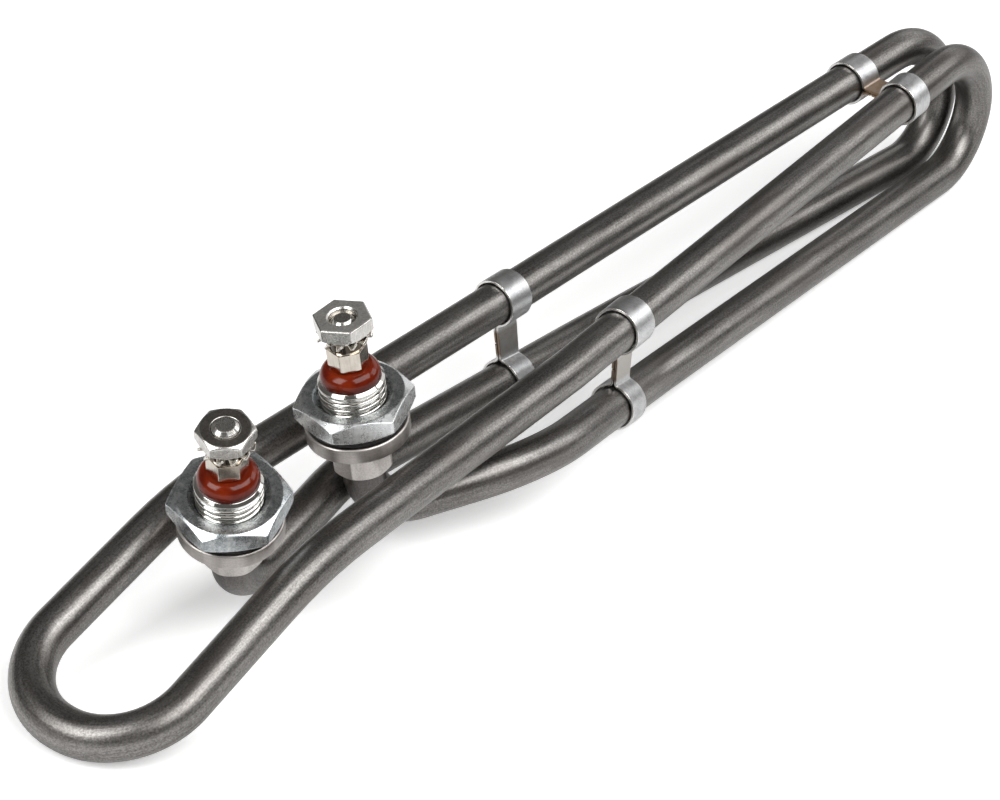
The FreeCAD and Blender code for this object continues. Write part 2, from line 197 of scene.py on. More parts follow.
table_mesh = bpy.data.meshes.new("white_table")
table_mesh.from_pydata([(x * table_half, y * table_half, 0.0)
                        for x, y in ((-1, -1), (1, -1), (1, 1), (-1, 1))], [], [(0, 1, 2, 3)])
table_mesh.materials.append(table.owner)
white_table = in_scene(bpy.data.objects.new("white_table", table_mesh))

# The room's level, and how much paler it is low down, fading out about ten degrees up.
room_level = 0.115
room_paler = 0.08
pale_below, pale_gone = 0.04, 0.17

room = Finish("room", bpy.data.worlds.new("room"))
bpy.context.scene.world = room.owner
toward = room.node("TexCoord", {}, None, "Generated")
low_down = room.along("Z", toward).between(pale_gone, pale_below)
room_glow = room.node("Background", {}, {"Color": (1.0, 0.965, 0.93, 1.0),
                                         "Strength": room_level + room_paler * low_down})
room.node("OutputWorld", {}, {"Surface": room_glow})


def soft_box(name, azimuth, elevation, distance, wide, tall, level):
    """A lamp behind a diffuser that faces the object from this direction, wide and tall in metres,
    as bright as level times white.  It shows in the metal and not to the camera."""
    light = bpy.data.lights.new(name, "AREA")
    light.shape = "RECTANGLE"
    light.size = wide
    light.size_y = tall
    light.energy = level * math.pi * wide * tall
    box = in_scene(bpy.data.objects.new(name, light))
    a, e = math.radians(azimuth), math.radians(elevation)
    box.matrix_world = (Matrix.Rotation(a + math.pi / 2, 4, "Z")
                        @ Matrix.Rotation(math.pi / 2 - e, 4, "X")
                        @ Matrix.Translation((0.0, 0.0, distance)))
    box.visible_camera = False


soft_box("left_soft_box", 165.0, 38.0, distance=0.75, wide=0.36, tall=0.46, level=5.0)
soft_box("upper_soft_box", 262.0, 52.0, distance=0.80, wide=0.80, tall=0.46, level=4.0)
soft_box("side_soft_box", 325.0, 34.0, distance=0.80, wide=0.34, tall=0.40, level=2.3)
soft_box("end_soft_box", 5.0, 24.0, distance=0.90, wide=0.70, tall=0.40, level=0.8)


# Sheath tube: one length of drawn steel tube, 8 mm across, bent cold into four passes.  Its skin is
# dark and satin, with a fine grain and faint lines along it from drawing, and painted shade darkens
# the stub at each end, below its fitting.
tube_r = 0.004
tube_wall = 0.00075
tube_around = 64
tube_end_h = 0.005
stub_shade_full, stub_shade_gone = 0.016, 0.024
seat_1 = np.array((-0.0969, 0.0008, 0.0249))
seat_2 = np.array((-0.0642, 0.0004, 0.0295))
foot_h_1, foot_bend_1 = 0.0204, 0.0087
foot_h_2, foot_bend_2 = 0.0217, 0.0092
lean_1 = (-13.3, -7.9)
lean_2 = (-9.4, 3.1)
swerve_bend = 0.032
belly_bend = 0.040
waist_bend = 0.040
knee_bend = 0.068
loop_bend = 0.015
far_low_drop = 0.00035
far_low_share = 0.6


def leaning(lean_x, lean_y):
    """Unit vector that leans from upright by these angles, in degrees, towards +X and +Y."""
    way = np.array((math.tan(math.radians(lean_x)), math.tan(math.radians(lean_y)), 1.0))
    return way / np.linalg.norm(way)


axis_1 = leaning(*lean_1)
axis_2 = leaning(*lean_2)
flip = np.array((1.0, -1.0, 1.0))
loop_corner = np.array((-0.139, 0.0156, tube_r))
knee = np.array((-0.0927, 0.0147, 0.0207))
waist = np.array((-0.0184, 0.0124, 0.0238))
far_top = np.array((0.1325, 0.0051, 0.0336))
far_low = np.array((0.1458, 0.0041, tube_r - far_low_drop))
belly = np.array((0.0135, 0.0096, 0.006))
swerve_1 = np.array((-0.0599, 0.0068, 0.0125))
swerve_2 = np.array((-0.0328, -0.0178, 0.0135))


def bend_within(before, corner, after, tangent):
    """Radius of the bend that takes this length from each of the corner's two runs."""
    u = (corner - before) / np.linalg.norm(corner - before)
    v = (after - corner) / np.linalg.norm(after - corner)
    return tangent / math.tan(math.acos(float(u @ v)) / 2)


far_height = np.linalg.norm(far_top - far_low)
far_low_bend = bend_within(belly, far_low, far_top, far_low_share * far_height)
far_top_bend = bend_within(far_low, far_top, waist, (1 - far_low_share) * far_height)
route = [
    (seat_1 + axis_1 * tube_end_h, 0.0), (seat_1 - axis_1 * foot_h_1, foot_bend_1),
    (swerve_1, swerve_bend), (belly, belly_bend), (far_low, far_low_bend),
    (far_top, far_top_bend), (waist, waist_bend), (knee, knee_bend), (loop_corner, loop_bend),
    (loop_corner * flip, loop_bend), (knee * flip, knee_bend), (waist * flip, waist_bend),
    (far_top * flip, far_top_bend), (far_low * flip, far_low_bend), (belly * flip, belly_bend),
    (swerve_2, swerve_bend), (seat_2 - axis_2 * foot_h_2, foot_bend_2),
    (seat_2 + axis_2 * tube_end_h, 0.0)]


def turned_about(vector, axis, angles):
    """A vector turned about a unit axis by an array of angles: v cos a + (k x v) sin a, plus the
    part along the axis, which stays."""
    a = angles[:, None]
    along = axis * (axis @ vector)
    return along + (vector - along) * np.cos(a) + np.cross(axis, vector) * np.sin(a)


def bent_line(corners, run_step=0.004, turn_step=math.radians(3.0)):
    """Straight runs joined by tangent arcs.  Each run stops radius * tan(turn / 2) short of its
    corner.  Returns the points, one side vector carried along without twist, the directions and
    the distances along the line."""
    here = corners[0][0]
    way = corners[1][0] - here
    way = way / np.linalg.norm(way)
    side = np.cross(way, (0.0, 0.0, 1.0))
    if np.linalg.norm(side) < 0.5:
        side = np.cross(way, (0.0, 1.0, 0.0))
    side = side / np.linalg.norm(side)
    points, sides, ways, places = [], [], [], []
    place = 0.0
    no_run = 1e-6
    for i in range(1, len(corners)):
        corner, radius = corners[i]
        last = i == len(corners) - 1
        if last:
            stop = corner
        else:
            out = corners[i + 1][0] - corner
            out = out / np.linalg.norm(out)
            turn = math.acos(float(np.clip(way @ out, -1.0, 1.0)))
            stop = corner - way * (radius * math.tan(turn / 2))
        run = float((stop - here) @ way)
        if run > no_run:
            n = max(2, int(run / run_step))
            t = np.linspace(0.0, run, n + 1)[:n + 1 if last else n]
            points.append(here + way * t[:, None])
            sides.append(np.repeat(side[None], len(t), 0))
            ways.append(np.repeat(way[None], len(t), 0))
            places.append(place + t)
            place += run
        if last:
            break
        axis = np.cross(way, out)
        axis = axis / np.linalg.norm(axis)
        centre = stop + np.cross(axis, way) * radius
        n = max(4, int(turn / turn_step))
        a = np.linspace(0.0, turn, n + 1)
        points.append(centre + turned_about(stop - centre, axis, a[:-1]))
        sides.append(turned_about(side, axis, a[:-1]))
        ways.append(turned_about(way, axis, a[:-1]))
        places.append(place + a[:-1] * radius)
        side = turned_about(side, axis, a[-1:])[0]
        here = centre + turned_about(stop - centre, axis, a[-1:])[0]
        way = out
        place += turn * radius
    return (np.concatenate(points), np.concatenate(sides), np.concatenate(ways),
            np.concatenate(places))


def tube_section(line, radii):
    """Circles carried along a line: point = line + r * (side cos a + up sin a), with up square to
    side and direction.  radii has one radius for each of the line's points."""
    middles, sides, ways, places = line
    ups = np.cross(ways, sides)
    a = 2 * math.pi * np.arange(tube_around) / tube_around
    ring = sides[:, None] * np.cos(a)[None, :, None] + ups[:, None] * np.sin(a)[None, :, None]
    points = middles[:, None] + ring * radii[:, None, None]
    own = np.stack([radii[:, None] * np.cos(a), radii[:, None] * np.sin(a),
                    np.repeat(places[:, None], tube_around, 1)], -1)
    return points, own


def grid_faces(rows, columns, close_rows):
    """Corner numbers of the faces between neighbouring points of a grid whose rows are rings."""
    i = np.arange(rows if close_rows else rows - 1)[:, None]
    j = np.arange(columns)[None, :]
    i1 = (i + 1) % rows
    j1 = (j + 1) % columns
    quads = np.stack([i * columns + j, i * columns + j1, i1 * columns + j1, i1 * columns + j], -1)
    return quads.reshape(-1, 4)


def skin(name, grids, material):
    """Grids of points as one smooth mesh.  A grid is (points, own, close_rows): its rows are rings
    that go up an axis, anticlockwise, so that its faces point outwards, and own gives each point's
    place on the piece before it was bent or stood up.  Points that meet at a pole or a closed end
    are welded."""
    points = np.concatenate([grid[0].reshape(-1, 3) for grid in grids])
    own = np.concatenate([grid[1].reshape(-1, 3) for grid in grids])
    firsts = np.cumsum([0] + [grid[0].size // 3 for grid in grids])
    quads = np.concatenate([first + grid_faces(*grid[0].shape[:2], grid[2])
                            for first, grid in zip(firsts, grids)])
    mesh = bpy.data.meshes.new(name)
    mesh.vertices.add(len(points))
    mesh.vertices.foreach_set("co", points.astype(np.float32).ravel())
    mesh.loops.add(quads.size)
    mesh.loops.foreach_set("vertex_index", quads.astype(np.int32).ravel())
    mesh.polygons.add(len(quads))
    mesh.polygons.foreach_set("loop_start", np.arange(0, quads.size, 4, dtype=np.int32))
    mesh.update(calc_edges=True)
    mesh.attributes.new("own", "FLOAT_VECTOR", "POINT").data.foreach_set(
        "vector", own.astype(np.float32).ravel())
    welded = bmesh.new()
    welded.from_mesh(mesh)
    bmesh.ops.remove_doubles(welded, verts=welded.verts, dist=1e-7)
    welded.to_mesh(mesh)
    welded.free()
    mesh.shade_smooth()
    mesh.materials.append(material)
    return in_scene(bpy.data.objects.new(name, mesh))


tube_line = bent_line(route)
tube_run = tube_line[3][-1]

steel = Finish("drawn_sheath_steel")
unbent = steel.own_place()
run = steel.along("Z", unbent)
lines = steel.noise(steel.stretched(unbent, (1.0, 1.0, 0.035)), 2600.0, 4.0, 0.6)
grain = steel.noise(unbent, 2800.0, 4.0, 0.7)
cloud = steel.noise(steel.stretched(unbent, (1.0, 1.0, 0.12)), 420.0, 3.0)
stain = steel.noise(steel.stretched(unbent, (1.0, 1.0, 0.3)), 160.0, 2.0)
steel_tone = steel.ramp(0.3 * cloud + 0.2 * lines + 0.5 * grain,
                        [(0.38, (0.110, 0.102, 0.095)), (0.50, (0.235, 0.225, 0.215)),
                         (0.62, (0.390, 0.376, 0.360))])
steel_tone = steel.blend(steel_tone, (0.18, 0.162, 0.150), stain.between(0.52, 0.70) * 0.5)
# Painted shade: the tube's colour is darkened on the stub below each fitting, where the fitting
# shades it.
stub_shade = run.between(stub_shade_gone, stub_shade_full) + run.between(tube_run - stub_shade_gone, tube_run - stub_shade_full)
steel_tone = steel.blend(steel_tone, (0.105, 0.094, 0.092), 0.65 * stub_shade)
steel_skin = steel.surface(
    Base_Color=steel_tone, Metallic=1.0, Roughness=0.24 + 0.10 * cloud + 0.12 * grain,
    Normal=steel.bump(0.3 * lines + 0.7 * grain, 0.00005, 0.6))

outer, outer_own = tube_section(tube_line, np.full(len(tube_line[0]), tube_r))
inner, inner_own = tube_section(tube_line, np.full(len(tube_line[0]), tube_r - tube_wall))
sheath = skin("sheath", [(np.concatenate([outer, inner[::-1]]),
                          np.concatenate([outer_own, inner_own[::-1]]), True)], steel_skin)
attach(sheath, "root")
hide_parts("sheath_tube")


# Bulkhead fittings: each is turned from one bar, with a threaded neck, a round flange and a collar
# with eight faint flats that closes in round the tube, where it is brazed on.
neck_r = 0.006
neck_h = 0.0093
neck_lead = 0.00055
neck_around = 144
thread_pitch = 0.00125
thread_depth = 0.00055
thread_foot = 0.0003
thread_stop = 0.0006
thread_fade = 0.0008
thread_reach = 0.0007
plated_from, plated_to = 0.0009, 0.0014
flange_r = 0.0094
flange_t = 0.0033
flange_cut_low = 0.0004
flange_cut_top = 0.00025
collar_r = 0.0056
collar_len = 0.007
collar_nose = 0.0009
collar_sides = 8
collar_turn = 20.0
collar_blur = 0.0003
nose_steps = 10
nose_stop = 8.0
neck_rows = 90
braze_gap = 0.00005


def softened(corners, reach, steps=4):
    """A closed outline with rounded corners: each corner becomes a parabola from a point reach
    before it to a point reach after it, or 0.4 of the way to the next corner where that is nearer.
    One more point beyond each end, at 1.6 times reach or 0.48 of the way, holds the straight side
    flat.  corners is corner by angle by (radius, height)."""
    reach = np.broadcast_to(np.asarray(reach, float), (len(corners),))[:, None, None]

    def towards(step, reach, most):
        way = np.roll(corners, step, 0) - corners
        far = np.linalg.norm(way, axis=-1, keepdims=True)
        return corners + way / far * np.minimum(reach, most * far)

    start, stop = towards(1, reach, 0.4), towards(-1, reach, 0.4)
    hold_start, hold_stop = towards(1, 1.6 * reach, 0.48), towards(-1, 1.6 * reach, 0.48)
    t = np.linspace(0.0, 1.0, steps + 1)[None, :, None, None]
    curve = ((1 - t) ** 2 * start[:, None] + 2 * t * (1 - t) * corners[:, None]
             + t ** 2 * stop[:, None])
    rows = np.concatenate([hold_start[:, None], curve, hold_stop[:, None]], 1)
    return rows.reshape(-1, *corners.shape[1:])


def with_wall(rows, count):
    """Closes an outline with this many rows in even steps from its last row back to its first, so
    that a thread has points to run over."""
    share = np.linspace(0.0, 1.0, count + 2)[1:-1, None, None]
    return np.concatenate([rows, rows[-1:] * (1 - share) + rows[:1] * share])


def flats(across, sides, turn, angles, crispness=90.0):
    """Radius of a polygon at each angle: across / 2 over the greatest cosine of the angle to any
    flat, with the greatest taken as a high power mean so that the corners are slightly round."""
    middles = math.radians(turn) + math.pi / sides + 2 * math.pi * np.arange(sides) / sides
    cosines = np.maximum(np.cos(angles[:, None] - middles), 0.0)
    return across / 2 / (cosines ** crispness).sum(1) ** (1 / crispness)


def even_angles(count):
    """Angles in equal steps once round."""
    return 2 * math.pi * np.arange(count) / count


def outline(angles, *corners):
    """Corners (radius, height), of which either may change with the angle, as one array."""
    return np.stack([np.stack(np.broadcast_arrays(r, h, angles)[:2], -1) for r, h in corners])


def upright(own, seat, axis):
    """Stands places (x, y, height) on a fitting's seat, with the height along its leaning axis."""
    side = np.array((1.0, 0.0, 0.0)) - axis * axis[0]
    side = side / np.linalg.norm(side)
    across = np.cross(axis, side)
    return seat + own[..., :1] * side + own[..., 1:2] * across + own[..., 2:] * axis


def stood(rows, angles, seat, axis):
    """Grid of rows of (radius, height) carried round a fitting's leaning axis at these angles."""
    own = np.stack([rows[..., 0] * np.cos(angles), rows[..., 0] * np.sin(angles), rows[..., 1]], -1)
    return upright(own, seat, axis), own, True


def groove(pitch, angles, heights):
    """Share of a helical groove's depth: 0.5 - 0.5 * the cosine of (height / pitch - turns), cubed
    to make wide round crests and narrow roots."""
    phase = heights / pitch - angles / (2 * math.pi)
    return (0.5 - 0.5 * np.cos(2 * math.pi * phase)) ** 3


turned = Finish("turned_fitting_steel")
turned_at = turned.own_place()
turned_h = turned.along("Z", turned_at)
rings = turned.noise(turned.stretched(turned_at, (0.06, 0.06, 1.0)), 5200.0, 3.0, 0.6)
bands = turned.noise(turned.stretched(turned_at, (1.0, 1.0, 0.10)), 420.0, 2.0)
grit = turned.noise(turned_at, 3600.0, 2.0)
plated = turned_h.between(plated_from, plated_to)
turned_tone = turned.ramp(0.55 * bands + 0.25 * grit + 0.2 * rings,
                          [(0.34, (0.350, 0.325, 0.305)), (0.50, (0.500, 0.468, 0.445)),
                           (0.66, (0.680, 0.645, 0.615))])
turned_tone = turned.blend(turned_tone, (0.66, 0.645, 0.61), plated)
on_collar = turned_h.between(-flange_t, -flange_t - collar_blur)
turned_tone = turned.blend(turned_tone, (0.86, 0.82, 0.785), 0.8 * grit * on_collar)
turned_skin = turned.surface(
    Base_Color=turned_tone, Metallic=1.0,
    Roughness=(0.30 + 0.14 * grit) * (1 - plated) + 0.10 * plated,
    Normal=turned.bump((0.6 * rings + 0.4 * grit) * (1 - 0.8 * plated), 0.00002, 0.5))


def bulkhead_fitting(number, seat, axis):
    """Profile carried round the axis.  The collar's radius is the smaller of its round nose and its
    flats, and the neck's is the smaller of its outline and the thread."""
    angles = even_angles(neck_around)
    low = -flange_t - collar_len
    bore = tube_r + braze_gap
    flat = flats(2 * collar_r * math.cos(math.pi / collar_sides), collar_sides, collar_turn, angles)
    bend = np.radians(np.linspace(90.0, nose_stop, nose_steps))
    nose = [(np.minimum(collar_r - collar_nose + collar_nose * math.cos(b), flat),
             low + collar_nose - collar_nose * math.sin(b)) for b in bend]
    corners = outline(angles, (neck_r, neck_h - neck_lead), (neck_r - neck_lead, neck_h),
                      (bore, neck_h), (bore, low), *nose, (flat, -flange_t),
                      (flange_r - flange_cut_low, -flange_t),
                      (flange_r, -flange_t + flange_cut_low), (flange_r, -flange_cut_top),
                      (flange_r - flange_cut_top, 0.0), (neck_r, 0.0))
    mouth_edge, nose_edge, root_edge, rim_edge = 0.00008, 0.00005, 0.0001, 0.00012
    reach = ([mouth_edge] * 4 + [nose_edge] * len(nose) + [root_edge] + [rim_edge] * 2
             + [root_edge] * 3)
    rows = with_wall(softened(corners, reach), neck_rows)
    heights = rows[..., 1]
    fade = np.clip((neck_h - thread_stop - heights) / thread_fade, 0.0, 1.0)
    ridge = neck_r - thread_depth * groove(thread_pitch, angles, heights) * fade
    threaded = (heights > thread_foot) & (rows[..., 0] > neck_r - thread_reach)
    rows[..., 0] = np.where(threaded, np.minimum(rows[..., 0], ridge), rows[..., 0])
    fitting = skin("threaded_fitting_%d" % number, [stood(rows, angles, seat, axis)], turned_skin)
    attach(fitting, "root")
    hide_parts("bulkhead_fitting_%d" % number)


bulkhead_fitting(1, seat_1, axis_1)
bulkhead_fitting(2, seat_2, axis_2)


# Gaskets: a flat ring of black rubber under each mounting nut, squeezed so that its edge bulges.
# Each is punched from sheet and slips over the neck.
gasket_r = 0.009
gasket_t = 0.0014
gasket_bulge = 0.00035
gasket_edge = 0.0003
neck_gap = 0.0001
ring_around = 96


def grainy(name, noise, colours, dull, duller, bump, metallic=0.0, place=Finish.own_place):
    """One noise over the piece sets its colour, its roughness between two levels and its bump."""
    made = Finish(name)
    grain = made.noise(place(made), *noise)
    return made.surface(Base_Color=made.ramp(grain, colours), Metallic=metallic,
                        Roughness=dull + duller * grain, Normal=made.bump(grain, *bump))


rubber_colours = [(0.3, (0.006, 0.006, 0.006)), (0.7, (0.016, 0.015, 0.015))]
rubber_skin = grainy("black_gasket_rubber", (2500.0, 3.0), rubber_colours, 0.45, 0.25,
                     (0.00003, 0.4))


def gasket(number, seat, axis):
    """Profile carried round the axis, with its outer side pushed out by the bulge at mid height."""
    angles = even_angles(ring_around)
    corners = outline(angles, (gasket_r - gasket_bulge, 0.0), (gasket_r, gasket_t * 0.3),
                      (gasket_r, gasket_t * 0.7), (gasket_r - gasket_bulge, gasket_t),
                      (neck_r + neck_gap, gasket_t), (neck_r + neck_gap, 0.0))
    ring = skin("gasket_ring_%d" % number,
                [stood(softened(corners, gasket_edge), angles, seat, axis)], rubber_skin)
    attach(ring, "root")
    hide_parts("gasket_%d" % number)


gasket(1, seat_1, axis_1)
gasket(2, seat_2, axis_2)


# Mounting nuts: thin hexagon nuts, 19 mm across flats, forged, chamfered, tapped and zinc plated.
# The plating is bluish and cloudy, and nut 2's flats and chamfers carry a painted highlight.
nut_flats = 0.019
nut_turn_1 = 18.0
nut_turn_2 = 18.3
nut_t = 0.0044
nut_face_r = 0.0091
nut_mouth = 0.0011
nut_edge = 0.00012
nut_bevel = 0.00005
nut_slope = math.tan(math.radians(30.0))
nut_blur = 0.0002
nut_per_side = 30
nut_rows = 40
nut_groove = 0.00045
groove_reach = 0.0004
groove_fade = 0.0003


def zinc_plating(name, painted_sheen):
    """Cloudy zinc plate, whose flats and chamfers are painted paler than its faces by this share,
    as a highlight.
    """
    zinc = Finish(name)
    place = zinc.own_place()
    x, y = zinc.along("X", place), zinc.along("Y", place)
    cloud = zinc.noise(place, 700.0, 5.0, 0.65)
    speck = zinc.noise(place, 2600.0, 3.0, 0.6)
    scratch = zinc.noise(zinc.stretched(place, (1.0, 0.1, 0.1)), 3000.0, 3.0)
    tone = zinc.ramp(0.5 * cloud + 0.3 * speck + 0.2 * scratch,
                     [(0.38, (0.36, 0.40, 0.42)), (0.50, (0.60, 0.64, 0.66)),
                      (0.61, (0.86, 0.88, 0.885))])
    past_face = ((x * x + y * y) ** 0.5).between(nut_face_r - nut_blur, nut_face_r + nut_blur)
    return zinc.surface(
        Base_Color=zinc.blend(tone, (0.94, 0.95, 0.95), painted_sheen * past_face),
        Metallic=1.0, Roughness=0.15 + 0.26 * cloud,
        Normal=zinc.bump(0.6 * cloud + 0.4 * speck, 0.00006, 0.6))


def corner_angles(sides, turn, per_side):
    """Angles round a polygon, close together at its corners: half a side's angle * sin of an even
    step from -90 to 90 degrees, from each flat's middle."""
    half = math.pi / sides
    step = half * np.sin(np.linspace(-math.pi / 2, math.pi / 2, per_side + 1)[:-1])
    middles = math.radians(turn) + half + 2 * half * np.arange(sides)
    return (middles[:, None] + step).ravel()


def nut(name, material, seat, axis, turn, across, bore_r, mouth, foot_h, head_h, foot_r, face_r,
        edge, pitch, bevel, plain=0.0):
    """Hexagon whose corners are cut back by a cone below and above: the outer edge drops by
    (flat's radius - face's radius) * slope.  The upper face stays this bevel inside the flats, and
    the bore carries a thread below a plain length."""
    angles = corner_angles(6, turn, nut_per_side)
    flat = flats(across, 6, turn, angles)
    foot_r = np.minimum(foot_r, flat - nut_bevel)
    face_r = np.minimum(face_r, flat - bevel)
    corners = outline(
        angles, (bore_r, foot_h + mouth), (bore_r + mouth, foot_h), (foot_r, foot_h),
        (flat, foot_h + (flat - foot_r) * nut_slope),
        (flat, head_h - (flat - face_r) * nut_slope), (face_r, head_h),
        (bore_r + mouth, head_h), (bore_r, head_h - mouth))
    rows = with_wall(softened(corners, [edge / 2] + [edge] * 6 + [edge / 2]), nut_rows)
    inside = (np.clip((bore_r + groove_reach - rows[..., 0]) / groove_reach, 0.0, 1.0)
              * np.clip((head_h - plain - rows[..., 1]) / groove_fade, 0.0, 1.0))
    rows[..., 0] = rows[..., 0] + nut_groove * groove(pitch, angles, rows[..., 1]) * inside
    return skin(name, [stood(rows, angles, seat, axis)], material)


# Nut 2 gets a painted highlight on its flats and chamfers; nut 1 none.
for number, seat, axis, turn, painted_sheen in ((1, seat_1, axis_1, nut_turn_1, 0.0),
                                       (2, seat_2, axis_2, nut_turn_2, 0.6)):
    zinc_nut = nut("zinc_nut_%d" % number, zinc_plating("zinc_plating_%d" % number, painted_sheen), seat,
                   axis, turn, nut_flats, neck_r + neck_gap, nut_mouth, gasket_t,
                   gasket_t + nut_t, nut_face_r, nut_face_r, nut_edge, thread_pitch, nut_bevel)
    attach(zinc_nut, "root")
    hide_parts("mounting_nut_%d" % number)


# End seals: glossy brick red silicone, poured into each neck's mouth round the stud.  It swells
# over the neck's thin lip and stands in a low dome, flat on top where the lower nut bears on it.
seal_r = 0.00545
seal_rim = 0.0005
seal_h = 0.0121
seal_top_r = 0.0040
seal_dark_low = 0.0004
seal_dark_top = 0.0016
seal_rows = 12
stud_r = 0.002415
part_gap = 0.00005
bush_top_h = 0.007

silicone = Finish("brick_red_silicone")
silicone_at = silicone.own_place()
silicone_cloud = silicone.noise(silicone_at, 350.0, 2.0)
silicone_tone = silicone.ramp(silicone_cloud, [(0.3, (0.105, 0.007, 0.0010)),
                                               (0.7, (0.195, 0.018, 0.0022))])
# Darker towards the neck's lip: partly painted shade where the seal meets the lip, partly the
# silicone thinning there.
silicone_rim_shade_and_thinning = silicone.along("Z", silicone_at).between(neck_h + seal_dark_top,
                                                         neck_h + seal_dark_low)
silicone_skin = silicone.surface(
    Base_Color=silicone.blend(silicone_tone, (0.045, 0.003, 0.001), 0.8 * silicone_rim_shade_and_thinning),
    Roughness=0.09 + 0.08 * silicone_cloud, Specular_IOR_Level=0.34,
    Normal=silicone.bump(silicone.noise(silicone_at, 500.0, 2.0), 0.00006, 0.3))


def end_seal(number, seat, axis):
    """Dome: a circle's arc that springs upright from the rim and reaches the flat top."""
    angles = even_angles(ring_around)
    rim_h = neck_h + seal_rim
    dome_r = ((seal_r - seal_top_r) ** 2 + (seal_h - rim_h) ** 2) / (2 * (seal_r - seal_top_r))
    climb = np.linspace(0.0, math.asin((seal_h - rim_h) / dome_r), seal_rows)
    dome = [(seal_r - dome_r * (1 - math.cos(c)), rim_h + dome_r * math.sin(c)) for c in climb]
    hole = stud_r + part_gap
    corners = outline(angles, (tube_r, neck_h), (seal_r, neck_h), *dome, (hole, seal_h),
                      (hole, bush_top_h), (tube_r, bush_top_h))
    lip_edge, dome_edge = 0.00005, 0.0001
    reach = [lip_edge] * 2 + [dome_edge] * len(dome) + [lip_edge] * 3
    seal = skin("red_seal_%d" % number,
                [stood(softened(corners, reach, steps=2), angles, seat, axis)], silicone_skin)
    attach(seal, "root")
    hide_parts("end_seal_%d" % number)


end_seal(1, seat_1, axis_1)
end_seal(2, seat_2, axis_2)


# Lower nuts: a narrow nickel plated brass nut on each stud, run down on to the seal, with cut back
# lower corners and a round land on top that carries the lock washer, painted dark as shade.
low_flats = 0.00635
low_turn = 18.0
low_t = 0.00405
low_point = 0.0006
low_face_w = 0.00035
low_edge = 0.00006
low_per_side = 24
land_r = 0.00295
land_t = 0.0024
land_h = seal_h + low_t
washer_h = land_h + land_t
land_shade_from, land_shade_to = 0.0001, 0.0003

nickel = Finish("polished_nickel_plate")
nickel_at = nickel.own_place()
nickel_cloud = nickel.noise(nickel_at, 450.0, 3.0)
nickel_lines = nickel.noise(nickel.stretched(nickel_at, (1.0, 1.0, 0.08)), 3600.0, 3.0)
nickel_tone = nickel.ramp(0.6 * nickel_cloud + 0.4 * nickel_lines,
                          [(0.35, (0.58, 0.525, 0.455)), (0.65, (0.79, 0.735, 0.655))])
# Painted shade: the land under the lock washer is darkened almost to black, as the shadow between
# the teeth.
land_shade = nickel.along("Z", nickel_at).between(land_h + land_shade_from, land_h + land_shade_to)
nickel_skin = nickel.surface(
    Base_Color=nickel.blend(nickel_tone, (0.09, 0.075, 0.06), land_shade),
    Metallic=1.0, Roughness=0.06 + 0.12 * nickel_cloud,
    Normal=nickel.bump(0.4 * nickel_lines + 0.6 * nickel_cloud, 0.00003, 0.4))


def lower_nut(number, seat, axis):
    """Hexagon whose foot runs in a straight cone from the corners to a narrow ring round the bore:
    height = foot + (flat's radius - ring's radius) * point / (corner's radius - ring's radius)."""
    angles = corner_angles(6, low_turn, low_per_side)
    flat = flats(low_flats, 6, low_turn, angles, crispness=200.0)
    bore = stud_r + part_gap
    ring_r = bore + low_face_w
    corner_r = low_flats / math.cos(math.pi / 6) / 2
    lift = (flat - ring_r) * low_point / (corner_r - ring_r)
    corners = outline(angles, (bore, seal_h), (ring_r, seal_h), (flat, seal_h + lift),
                      (flat, land_h), (land_r, land_h), (land_r, washer_h), (bore, washer_h))
    pointed_nut = skin("pointed_nut_%d" % number,
                       [stood(softened(corners, low_edge), angles, seat, axis)], nickel_skin)
    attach(pointed_nut, "root")
    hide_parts("lower_nut_%d" % number)


lower_nut(1, seat_1, axis_1)
lower_nut(2, seat_2, axis_2)


# Lock washers: a stamped ring with twelve external teeth, each twisted about its own radius so that
# its edges bite.  Spring steel, barrelled until its edges are round, then plated bright.
washer_t = 0.00055
washer_body_r = 0.0038
washer_r = 0.00505
washer_mid = washer_h + part_gap + washer_t / 2
washer_bore_edge = 0.00008
washer_edge = 0.00022
tooth_count = 12
tooth_around = 32
tooth_bite = 0.0004
tooth_w = 0.0017
tooth_twist = math.radians(50.0)
tooth_root_twist = math.radians(10.0)
tooth_reach = (tooth_w * math.sin(tooth_twist) + washer_t * math.cos(tooth_twist)) / 2
tooth_round = 0.18
tooth_rows = 10

spring_colours = [(0.3, (0.60, 0.565, 0.51)), (0.7, (0.83, 0.80, 0.745))]
spring_skin = grainy("bright_plated_washer", (900.0, 3.0), spring_colours, 0.08, 0.10,
                     (0.00003, 0.35), metallic=1.0)


def twisted_section(radius, twist, around):
    """Rounded bar's section square to a radius: width * |cos|^(1/2) and thickness * |sin|^(1/2) of
    each angle, with their signs, turned by the twist."""
    c, s = np.cos(around), np.sin(around)
    wide = np.sign(c) * np.sqrt(np.abs(c)) * tooth_w / 2
    thick = np.sign(s) * np.sqrt(np.abs(s)) * washer_t / 2
    return np.stack([radius + 0 * wide, wide * math.cos(twist) - thick * math.sin(twist),
                     wide * math.sin(twist) + thick * math.cos(twist)], -1)


